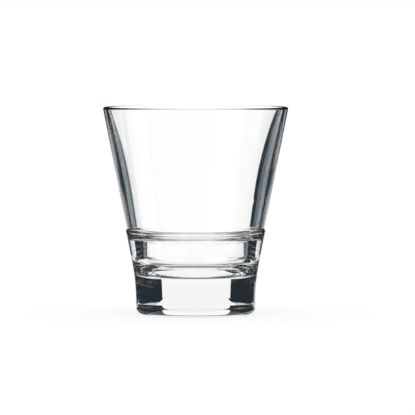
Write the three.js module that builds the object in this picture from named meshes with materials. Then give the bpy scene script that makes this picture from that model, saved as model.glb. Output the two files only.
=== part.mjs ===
// A stackable rocks glass: one body of clear pressed glass, revolved about the Z axis.
// Millimetres, +Z up. The origin is the middle of the surface that the glass stands on.
import * as THREE from "three";

// Foot and base
const footDiameter = 54.8; // outside, just above the heel
const heelRadius = 3.3; // round between the foot and the bearing ring
const bearingWidth = 3.5; // flat ring that the glass stands on
const puntDepth = 1.2; // shallow hollow under the base
const baseThickness = 17.4; // standing surface to the floor of the cavity

// Outside of the wall
const height = 95; // standing surface to the top of the lip
const rimDiameter = 85; // across the lip
const flareHeight = 14; // where the upright foot and the flared wall would meet if they weren't rounded
const flareRadius = 100; // the long curve from the foot into the flared wall
const shoulderHeight = 37.7; // top of the thick lower half
const shoulderStep = 0.5; // how far the thick lower half stands proud of the wall above it
const shoulderRise = 1.4; // height that the step takes
const shoulderRounding = 0.6;

// Inside of the wall
const lipThickness = 1.8;
const lipRounding = 0.9;
const lipTaper = 23; // height over which the upper wall thins towards the lip
const wallThickness = 3.2; // upper wall, where the taper starts
const wallRounding = 500; // the long curve where the taper starts
const seatThickness = 2.4; // upper wall, at the ledge
const stackClearance = 1; // round the foot and heel of a second glass that stands on the ledge
const ledgeHeight = 35.2; // standing surface to the ledge
const ledgeEdgeRounding = 0.4;
const seatOverlap = 0.1; // how far the cavity's edge lies outside a second glass's bearing ring
const cavityDraft = 2.5; // degrees that the cavity below the ledge tapers by
const floorRounding = 11.5;

const turnSegments = 72; // sides of the revolved body
const puntSteps = 4;
const degreesPerArcStep = 18; // at a small round
const mostArcStep = 6; // length of one step on a large round

// Radii that follow from the sizes above
const footRadius = footDiameter / 2;
const bearingOuterRadius = footRadius - heelRadius;
const bearingInnerRadius = bearingOuterRadius - bearingWidth;
const ledgeOuterRadius = footRadius + stackClearance;
const rimRadius = rimDiameter / 2;
const seatRounding = heelRadius + stackClearance; // hollow round that the second glass's heel sits in
const cavityTopRadius = bearingOuterRadius + seatOverlap;
const cavityDepth = ledgeHeight - baseThickness;
const cavityFloorRadius = cavityTopRadius - cavityDepth * Math.tan(THREE.MathUtils.degToRad(cavityDraft));
// The outside of the upper wall is one straight line, seen in section, from the ledge's height to the lip.
const wallRadiusAtLedge = ledgeOuterRadius + seatThickness;
const wallLean = Math.atan2(rimRadius - wallRadiusAtLedge, height - ledgeHeight);
// The round takes this much off the lip's corner, so the corner lies outside the rim by as much.
const lipCornerRadius = rimRadius + lipRounding * (Math.tan(wallLean) + 1 / Math.cos(wallLean) - 1);
const wallSlope = (lipCornerRadius - wallRadiusAtLedge) / (height - ledgeHeight);
const upperWallRadius = wallRadiusAtLedge + wallSlope * (shoulderHeight + shoulderRise - ledgeHeight);
const shoulderRadius = upperWallRadius + shoulderStep;
const taperInnerRadius = lipCornerRadius - wallSlope * lipTaper - wallThickness;

// One corner of the outline, at radius r and height z, with the radius that it is rounded to.
function corner(r, z, rounding = 0) {
  return { at: new THREE.Vector2(r, z), rounding };
}

// How far the round at corner b reaches along its two sides.
function reachOf(a, b, c) {
  const toA = a.at.clone().sub(b.at);
  const toC = c.at.clone().sub(b.at);
  const opening = Math.abs(toA.angleTo(toC));
  return b.rounding / Math.tan(opening / 2);
}

// The arc that rounds corner b and starts and ends at the given reach along its sides.
function arcAt(a, b, c, reach) {
  const toA = a.at.clone().sub(b.at).normalize();
  const toC = c.at.clone().sub(b.at).normalize();
  const opening = toA.angleTo(toC);
  const radius = reach * Math.tan(opening / 2);
  const start = b.at.clone().addScaledVector(toA, reach);
  const centre = toA.clone().add(toC).setLength(radius / Math.sin(opening / 2)).add(b.at);
  const turn = Math.PI - opening;
  const side = Math.sign(toC.cross(toA));
  const byAngle = THREE.MathUtils.radToDeg(turn) / degreesPerArcStep;
  const byLength = (radius * turn) / mostArcStep;
  const steps = Math.ceil(Math.max(2, byAngle, byLength));
  const arc = [];
  for (let i = 0; i <= steps; i += 1) {
    arc.push(start.clone().rotateAround(centre, (side * turn * i) / steps));
  }
  return arc;
}

// The outline through the corners, each one rounded.
// Rounds that share a side too short for both are made smaller.
function roundedOutline(corners) {
  const last = corners.length - 1;
  const wanted = corners.map((b, i) => (i > 0 && i < last ? reachOf(corners[i - 1], b, corners[i + 1]) : 0));
  const share = wanted.slice(1).map((reach, i) => {
    const side = corners[i].at.distanceTo(corners[i + 1].at);
    return Math.min(1, side / Math.max(reach + wanted[i], side));
  });
  return corners.flatMap((b, i) => {
    if (b.rounding === 0) {
      return [b.at];
    }
    const reach = wanted[i] * Math.min(share[i - 1], share[i]);
    return arcAt(corners[i - 1], b, corners[i + 1], reach);
  });
}

// The shallow dome of the punt, from its middle out to the bearing ring.
function puntOutline() {
  const domeRadius = (bearingInnerRadius ** 2 + puntDepth ** 2) / (2 * puntDepth);
  return Array.from({ length: puntSteps }, (_, i) => {
    const r = (bearingInnerRadius * i) / puntSteps;
    return new THREE.Vector2(r, puntDepth - domeRadius + Math.sqrt(domeRadius ** 2 - r ** 2));
  });
}

// Half of the glass's section: under the base, up the outside, over the lip and down the inside to the axis.
function glassOutline() {
  const outside = [
    corner(bearingInnerRadius, 0),
    corner(footRadius, 0, heelRadius),
    corner(footRadius, flareHeight, flareRadius),
    corner(shoulderRadius, shoulderHeight, shoulderRounding),
    corner(upperWallRadius, shoulderHeight + shoulderRise, shoulderRounding),
    corner(lipCornerRadius, height, lipRounding),
  ];
  const inside = [
    corner(lipCornerRadius - lipThickness, height, lipRounding),
    corner(taperInnerRadius, height - lipTaper, wallRounding),
    corner(ledgeOuterRadius, ledgeHeight, seatRounding),
    corner(cavityTopRadius, ledgeHeight, ledgeEdgeRounding),
    corner(cavityFloorRadius, baseThickness, floorRounding),
    corner(0, baseThickness),
  ];
  return [...puntOutline(), ...roundedOutline([...outside, ...inside])];
}

function clearGlass() {
  return new THREE.MeshStandardMaterial({
    color: 0xf4f7f8,
    roughness: 0.03,
    metalness: 0,
    transparent: true,
    opacity: 0.3,
  });
}

const body = new THREE.Mesh(new THREE.LatheGeometry(glassOutline(), turnSegments), clearGlass());
body.name = "glass_body";
body.rotation.x = Math.PI / 2; // the lathe turns about its own Y axis, which becomes +Z

const rocksGlass = new THREE.Group();
rocksGlass.add(body);

export default rocksGlass;
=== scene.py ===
import math

import bpy
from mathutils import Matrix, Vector


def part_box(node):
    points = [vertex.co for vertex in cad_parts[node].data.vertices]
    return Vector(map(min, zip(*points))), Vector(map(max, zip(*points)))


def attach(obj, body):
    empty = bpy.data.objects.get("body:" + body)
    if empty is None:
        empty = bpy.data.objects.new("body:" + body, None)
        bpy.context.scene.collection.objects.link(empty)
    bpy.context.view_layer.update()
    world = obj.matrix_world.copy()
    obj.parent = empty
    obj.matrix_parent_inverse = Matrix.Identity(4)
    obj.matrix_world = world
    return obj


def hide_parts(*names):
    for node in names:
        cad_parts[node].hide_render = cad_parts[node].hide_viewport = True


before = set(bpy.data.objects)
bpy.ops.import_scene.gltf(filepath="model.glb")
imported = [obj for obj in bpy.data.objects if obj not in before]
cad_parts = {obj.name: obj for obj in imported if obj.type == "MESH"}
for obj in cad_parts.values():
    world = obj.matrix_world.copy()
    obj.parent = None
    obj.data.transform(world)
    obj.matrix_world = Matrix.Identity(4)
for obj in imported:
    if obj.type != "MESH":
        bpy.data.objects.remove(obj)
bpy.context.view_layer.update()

# A clear rocks glass, shot in bright field: a white backdrop behind it and black flags round it.
# The outline is in millimetres, as in the solid that it stands for. Everything else is in metres.
MM = 0.001
NODE = "glass_body"
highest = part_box(NODE)[1]

# Foot and base
foot_radius = 27.4
heel_radius = 3.3
bearing_width = 3.5
punt_depth = 1.2
base_thickness = 17.4

# Outside of the wall
height = highest.z / MM
rim_radius = highest.x / MM
flare_height = 14
flare_radius = 100
shoulder_height = 37.7
shoulder_step = 0.5
shoulder_rise = 1.4
shoulder_rounding = 0.6

# Inside of the wall
lip_thickness = 1.8
lip_rounding = 0.9
lip_taper = 23
wall_thickness = 3.2
wall_rounding = 500
seat_thickness = 2.4
stack_clearance = 1.0
seat_rounding = heel_radius + stack_clearance
ledge_height = 35.2
ledge_edge_rounding = 0.4
seat_overlap = 0.1
cavity_draft = math.radians(2.5)
floor_rounding = 11.5

# Fineness of the mesh
turn_segments = 128
arc_step = math.radians(1.5)
least_arc_steps = 3
longest_step = 1.0
end_step = 0.08  # next to a round, so that its shading stays on the round
shortest_split = 6 * end_step  # a shorter side has no points between its ends

# Glass
refractive_index = 1.52
absorption_density = 33.0
absorption_colour = (0.9, 0.9, 0.9)
haze_scale, haze_detail = 60, 3
haze_from, haze_to = 0.4, 0.8  # the stretch of the haze that the roughness follows
roughness_low, roughness_high = 0.0, 0.006
ripple_scale, ripple_detail = 90, 1
bump_height = 0.00002
bump_strength = 0.02

# The photograph's frame, in its pixels, and where the glass stands in it
image_side = 415
pixels_per_mm = 2.177
axis_pixel = 195.65
middle_pixel = 210.3
camera_distance = 2.2
look_down = math.radians(1.25)  # on the rim
sensor_width = 36

# The studio is a dome of panels round the glass. Places on it are in degrees: bearings from straight
# behind the glass towards +X, and heights above the horizon.
studio_radius = 3.0
panel_step = 2.0  # width and height of one face
front_layer, back_layer = 0.99, 1.1  # radius of the panels before and behind the others, in studio radii
window_left, window_right = -25.2, 24.0  # the white backdrop
window_bottom, window_top = -0.8, 35.0
sweep_left, sweep_right = -12.0, 8.2  # the white that goes on below the backdrop
card_left, card_right = -22.0, 22.0  # outer edges of the grey cards beside the sweep
card_gap = 2.5  # black, between the sweep and the right card
flags_left, flags_right = -70.0, 95.0  # how far round the black flags go
nadir, zenith, full_turn = -90, 90, 360
# White panels that show through the glass from its other sides: left, right, bottom and top
open_panels = {
    "open_side": (-107.0, -73.0, -45.0, 10.0),
    "open_rear": (112.0, 158.0, -65.0, -4.0),
    "open_patch": (-64.0, -24.0, -65.0, -15.0),
}
flag_colour = (0.02, 0.03, 0.036)
card_colour = (0.156, 0.198, 0.231)
white_colour = (1, 1, 1)
backdrop_strength = 1.18  # makes up for what the wall reflects away
open_strength = 1.1
round_strength = 0.04  # the rest of the dome

# White sheets on the table. Edges are distances behind the axis, and widths are half widths.
sheet_front = -0.028  # near edge of the strip under the glass
strip_turn = 0.003  # where the strip narrows
sheet_turn = 0.026  # where the field starts
field_end = 0.060  # where the apron and the fan start
apron_end = 0.125
sheet_back = 0.500  # far edge of the fan
strip_front, strip_back = 0.022, 0.012
field_front, field_back = 0.030, 0.080
apron_width = 0.050
fan_front, fan_back = 0.020, 0.195
sheet_strength = 1.1
apron_strength = 0.75
sheet_level = -0.0001
sheet_layer = 0.00002  # how far each sheet lies above the one before

# The floor that the camera sees
floor_side = 20
floor_level = -0.0002
floor_albedo, floor_glow = 0.25, 0.77


def rounded(before, at, after, rounding):
    """The arc that rounds the corner at a point between two others."""
    to_before = (before - at).normalized()
    to_after = (after - at).normalized()
    half_opening = to_before.angle(to_after) / 2
    reach = rounding / math.tan(half_opening)
    start = at + to_before * reach
    centre = at + (to_before + to_after).normalized() * (rounding / math.sin(half_opening))
    turn = math.pi - 2 * half_opening
    if to_after.cross(to_before) < 0:
        turn = -turn
    by_angle = abs(turn) / arc_step
    by_length = rounding * abs(turn) / longest_step
    steps = math.ceil(max(least_arc_steps, by_angle, by_length))
    arm = start - centre
    points = []
    for i in range(steps + 1):
        c = math.cos(turn * i / steps)
        s = math.sin(turn * i / steps)
        points.append(centre + Vector((arm.x * c - arm.y * s, arm.x * s + arm.y * c)))
    return points


def outline_corners():
    """Half of the section, from the bearing ring to the axis: each corner and the radius of its round."""
    bearing_outer = foot_radius - heel_radius
    ledge_outer = foot_radius + stack_clearance
    wall_at_ledge = ledge_outer + seat_thickness
    lean = math.atan2(rim_radius - wall_at_ledge, height - ledge_height)
    lip_outer = rim_radius + lip_rounding * (math.tan(lean) + 1 / math.cos(lean) - 1)
    slope = (lip_outer - wall_at_ledge) / (height - ledge_height)
    shoulder_top = shoulder_height + shoulder_rise
    upper_wall = wall_at_ledge + slope * (shoulder_top - ledge_height)
    thickest_inner = lip_outer - slope * lip_taper - wall_thickness
    cavity_top = bearing_outer + seat_overlap
    cavity_floor = cavity_top - (ledge_height - base_thickness) * math.tan(cavity_draft)
    return [
        (bearing_outer - bearing_width, 0, 0),
        (foot_radius, 0, heel_radius),
        (foot_radius, flare_height, flare_radius),
        (upper_wall + shoulder_step, shoulder_height, shoulder_rounding),
        (upper_wall, shoulder_top, shoulder_rounding),
        (lip_outer, height, lip_rounding),
        (lip_outer - lip_thickness, height, lip_rounding),
        (thickest_inner, height - lip_taper, wall_rounding),
        (ledge_outer, ledge_height, seat_rounding),
        (cavity_top, ledge_height, ledge_edge_rounding),
        (cavity_floor, base_thickness, floor_rounding),
        (0, base_thickness, 0),
    ]


def punt_outline(outer):
    """The shallow dome under the base, from the axis to the bearing ring."""
    dome_radius = (outer ** 2 + punt_depth ** 2) / (2 * punt_depth)
    steps = math.ceil(outer / longest_step)
    points = []
    for i in range(steps):
        r = outer * i / steps
        points.append(Vector((r, punt_depth - dome_radius + math.sqrt(dome_radius ** 2 - r ** 2))))
    return points


def with_long_sides_split(points):
    """The outline with points close to both ends of each long side and at even steps between them."""
    result = [points[0]]
    for a, b in zip(points, points[1:]):
        length = (b - a).length
        if length > shortest_split:
            inner = length - 2 * end_step
            steps = max(1, round(inner / longest_step))
            for i in range(steps + 1):
                result.append(a.lerp(b, (end_step + inner * i / steps) / length))
        result.append(b)
    return result


def glass_outline():
    """The whole half section: the punt, then the corners with their rounds."""
    corners = outline_corners()
    points = punt_outline(corners[0][0])
    places = [Vector(corner[:2]) for corner in corners]
    for i, (_, _, rounding) in enumerate(corners):
        if rounding == 0:
            points.append(places[i])
        else:
            points += rounded(places[i - 1], places[i], places[i + 1], rounding)
    return with_long_sides_split(points)


def turned_mesh(name, outline):
    """A closed mesh of the outline turned about the Z axis. Its two ends lie on the axis."""
    turns = [2 * math.pi * i / turn_segments for i in range(turn_segments)]
    verts = []
    rings = []
    for r, z in outline:
        around = turns if r > 0 else turns[:1]
        rings.append([len(verts) + i for i in range(len(around))])
        verts += [(r * math.cos(t) * MM, r * math.sin(t) * MM, z * MM) for t in around]
    faces = []
    for one, two in zip(rings, rings[1:]):
        for i in range(turn_segments):
            j = (i + 1) % turn_segments
            corners = [one[i % len(one)], one[j % len(one)], two[j % len(two)], two[i % len(two)]]
            faces.append(list(dict.fromkeys(corners)))
    mesh = bpy.data.meshes.new(name)
    mesh.from_pydata(verts, [], faces)
    mesh.shade_smooth()
    return mesh


def noise(tree, place, scale, detail):
    """A noise texture on the object's own coordinates."""
    texture = tree.nodes.new("ShaderNodeTexNoise")
    texture.inputs["Scale"].default_value = scale
    texture.inputs["Detail"].default_value = detail
    tree.links.new(place.outputs["Object"], texture.inputs["Vector"])
    return texture


def glass_material():
    """Clear pressed glass: fire-polished, with a faint unevenness in its shine."""
    material = bpy.data.materials.new("clear_glass")
    material.use_nodes = True
    tree = material.node_tree
    nodes, links = tree.nodes, tree.links
    shader = nodes["Principled BSDF"]
    shader.inputs["Base Color"].default_value = (*white_colour, 1)
    shader.inputs["Transmission Weight"].default_value = 1
    shader.inputs["IOR"].default_value = refractive_index
    place = nodes.new("ShaderNodeTexCoord")
    haze = noise(tree, place, haze_scale, haze_detail)
    roughness = nodes.new("ShaderNodeMapRange")
    roughness.inputs["From Min"].default_value = haze_from
    roughness.inputs["From Max"].default_value = haze_to
    roughness.inputs["To Min"].default_value = roughness_low
    roughness.inputs["To Max"].default_value = roughness_high
    links.new(haze.outputs["Fac"], roughness.inputs["Value"])
    links.new(roughness.outputs["Result"], shader.inputs["Roughness"])
    ripple = noise(tree, place, ripple_scale, ripple_detail)
    bump = nodes.new("ShaderNodeBump")
    bump.inputs["Distance"].default_value = bump_height
    bump.inputs["Strength"].default_value = bump_strength
    links.new(ripple.outputs["Fac"], bump.inputs["Height"])
    links.new(bump.outputs["Normal"], shader.inputs["Normal"])
    absorption = nodes.new("ShaderNodeVolumeAbsorption")
    absorption.inputs["Color"].default_value = (*absorption_colour, 1)
    absorption.inputs["Density"].default_value = absorption_density
    links.new(absorption.outputs["Volume"], nodes["Material Output"].inputs["Volume"])
    return material


def glow(name, colour, strength=1.0):
    """A surface that shines evenly and does nothing else."""
    material = bpy.data.materials.new(name)
    material.use_nodes = True
    nodes, links = material.node_tree.nodes, material.node_tree.links
    nodes.clear()
    emission = nodes.new("ShaderNodeEmission")
    emission.inputs["Color"].default_value = (*colour, 1)
    emission.inputs["Strength"].default_value = strength
    output = nodes.new("ShaderNodeOutputMaterial")
    links.new(emission.outputs["Emission"], output.inputs["Surface"])
    return material


def stage_piece(name, verts, faces, material, mirrored):
    """A piece of the studio that only the glass sees, not the camera or the floor."""
    mesh = bpy.data.meshes.new(name)
    mesh.from_pydata(verts, [], faces)
    mesh.materials.append(material)
    piece = bpy.data.objects.new(name, mesh)
    bpy.context.scene.collection.objects.link(piece)
    piece.visible_camera = False
    piece.visible_diffuse = False
    piece.visible_shadow = False
    piece.visible_glossy = mirrored


def dome_panel(name, left, right, bottom, top, material, mirrored, layer=1.0):
    """A patch of the studio's dome between two bearings and two heights."""
    radius = layer * studio_radius
    across = max(2, math.ceil((right - left) / panel_step))
    up = max(2, math.ceil((top - bottom) / panel_step))
    verts = []
    for j in range(up + 1):
        rise = math.radians(bottom + (top - bottom) * j / up)
        ahead = radius * math.cos(rise)
        for i in range(across + 1):
            bearing = math.radians(left + (right - left) * i / across)
            verts.append((ahead * math.sin(bearing), ahead * math.cos(bearing), radius * math.sin(rise)))
    faces = []
    for j in range(up):
        for i in range(across):
            k = j * (across + 1) + i
            faces.append((k, k + 1, k + across + 2, k + across + 1))
    stage_piece(name, verts, faces, material, mirrored)


def dome():
    """What stands round the glass. Its surface mirrors only the black and grey panels, not the white."""
    flag = glow("black_flag", flag_colour)
    card = glow("grey_card", card_colour)
    white = glow("backdrop", white_colour, backdrop_strength)
    light = glow("open_white", white_colour, open_strength)
    dim = glow("open_grey", white_colour, round_strength)
    upper_row = [
        ("flag_left", flags_left, window_left, flag),
        ("backdrop", window_left, window_right, white),
        ("flag_right", window_right, flags_right, flag),
    ]
    lower_row = [
        ("flag_low_left", flags_left, card_left, flag),
        ("card_left", card_left, sweep_left, card),
        ("sweep", sweep_left, sweep_right, white),
        ("gap_right", sweep_right, sweep_right + card_gap, flag),
        ("card_right", sweep_right + card_gap, card_right, card),
        ("flag_low_right", card_right, flags_right, flag),
    ]
    for name, left, right, material in upper_row:
        dome_panel(name, left, right, window_bottom, window_top, material, material != white)
    for name, left, right, material in lower_row:
        dome_panel(name, left, right, nadir, window_bottom, material, material != white)
    dome_panel("flag_top", 0, full_turn, window_top, zenith, flag, True)
    dome_panel("flag_behind", 0, full_turn, nadir, zenith, flag, True, back_layer)
    dome_panel("open_round", flags_right, full_turn + flags_left, nadir, window_top, dim, False)
    for name, (left, right, bottom, top) in open_panels.items():
        dome_panel(name, left, right, bottom, top, light, False, front_layer)


def table_sheets():
    """What the glass sees of the table: white under it, widening towards the backdrop."""
    sheets = [
        (sheet_front, strip_front, strip_turn, strip_front, sheet_strength),
        (strip_turn, strip_back, sheet_turn, strip_back, sheet_strength),
        (sheet_turn, field_front, field_end, field_back, sheet_strength),
        (field_end, apron_width, apron_end, apron_width, apron_strength),
        (field_end, fan_front, sheet_back, fan_back, backdrop_strength),
    ]
    for k, (near, near_width, far, far_width, strength) in enumerate(sheets):
        z = sheet_level + k * sheet_layer
        verts = [(-near_width, near, z), (near_width, near, z), (far_width, far, z), (-far_width, far, z)]
        white = glow(f"sheet_white_{k}", white_colour, strength)
        stage_piece(f"table_sheet_{k}", verts, [(0, 1, 2, 3)], white, True)


def floor_material():
    """White enough to vanish in the white behind it, and matt, so that the glass shades it."""
    material = bpy.data.materials.new("floor_white")
    material.use_nodes = True
    shader = material.node_tree.nodes["Principled BSDF"]
    shader.inputs["Base Color"].default_value = (floor_albedo, floor_albedo, floor_albedo, 1)
    shader.inputs["Roughness"].default_value = 1
    shader.inputs["Specular IOR Level"].default_value = 0
    shader.inputs["Emission Color"].default_value = (*white_colour, 1)
    shader.inputs["Emission Strength"].default_value = floor_glow
    return material


def floor():
    """The floor that the camera sees. The glass sees the sheets on it instead."""
    bpy.ops.mesh.primitive_plane_add(size=floor_side, location=(0, 0, floor_level))
    plane = bpy.context.object
    plane.name = "floor"
    plane.data.materials.append(floor_material())
    plane.visible_glossy = False
    plane.visible_transmission = False


def white_world():
    """The plain white that the camera sees behind the glass, and the soft light on the floor."""
    world = bpy.data.worlds.new("white_backdrop")
    bpy.context.scene.world = world
    world.use_nodes = True
    world.node_tree.nodes["Background"].inputs["Color"].default_value = (*white_colour, 1)


def camera():
    """The photograph's view, with the glass where it stands in the photograph's frame."""
    data = bpy.data.cameras.new("camera")
    eye = bpy.data.objects.new("camera", data)
    bpy.context.scene.collection.objects.link(eye)
    bpy.context.scene.camera = eye
    middle = Vector((0, 0, highest.z / 2))
    eye.location = (0, -camera_distance, highest.z + camera_distance * math.tan(look_down))
    sight = middle - eye.location
    eye.rotation_euler = sight.to_track_quat("-Z", "Y").to_euler()
    data.sensor_width = sensor_width
    data.lens = pixels_per_mm / MM * sensor_width / image_side * sight.length
    data.shift_x = (image_side / 2 - axis_pixel) / image_side
    data.shift_y = (middle_pixel - image_side / 2) / image_side


def glass():
    """The glass itself, in place of its solid."""
    mesh = turned_mesh("rocks_glass", glass_outline())
    mesh.materials.append(glass_material())
    piece = bpy.data.objects.new("rocks_glass", mesh)
    bpy.context.scene.collection.objects.link(piece)
    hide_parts(NODE)
    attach(piece, "root")


def light_paths():
    """Enough bounces for the thick base, and colours shown as they are written."""
    scene = bpy.context.scene
    scene.view_settings.view_transform = "Standard"
    bounces = 32
    scene.cycles.max_bounces = bounces
    scene.cycles.transmission_bounces = bounces
    scene.cycles.glossy_bounces = bounces
    scene.cycles.use_denoising = True


light_paths()
glass()
white_world()
dome()
floor()
table_sheets()
camera()
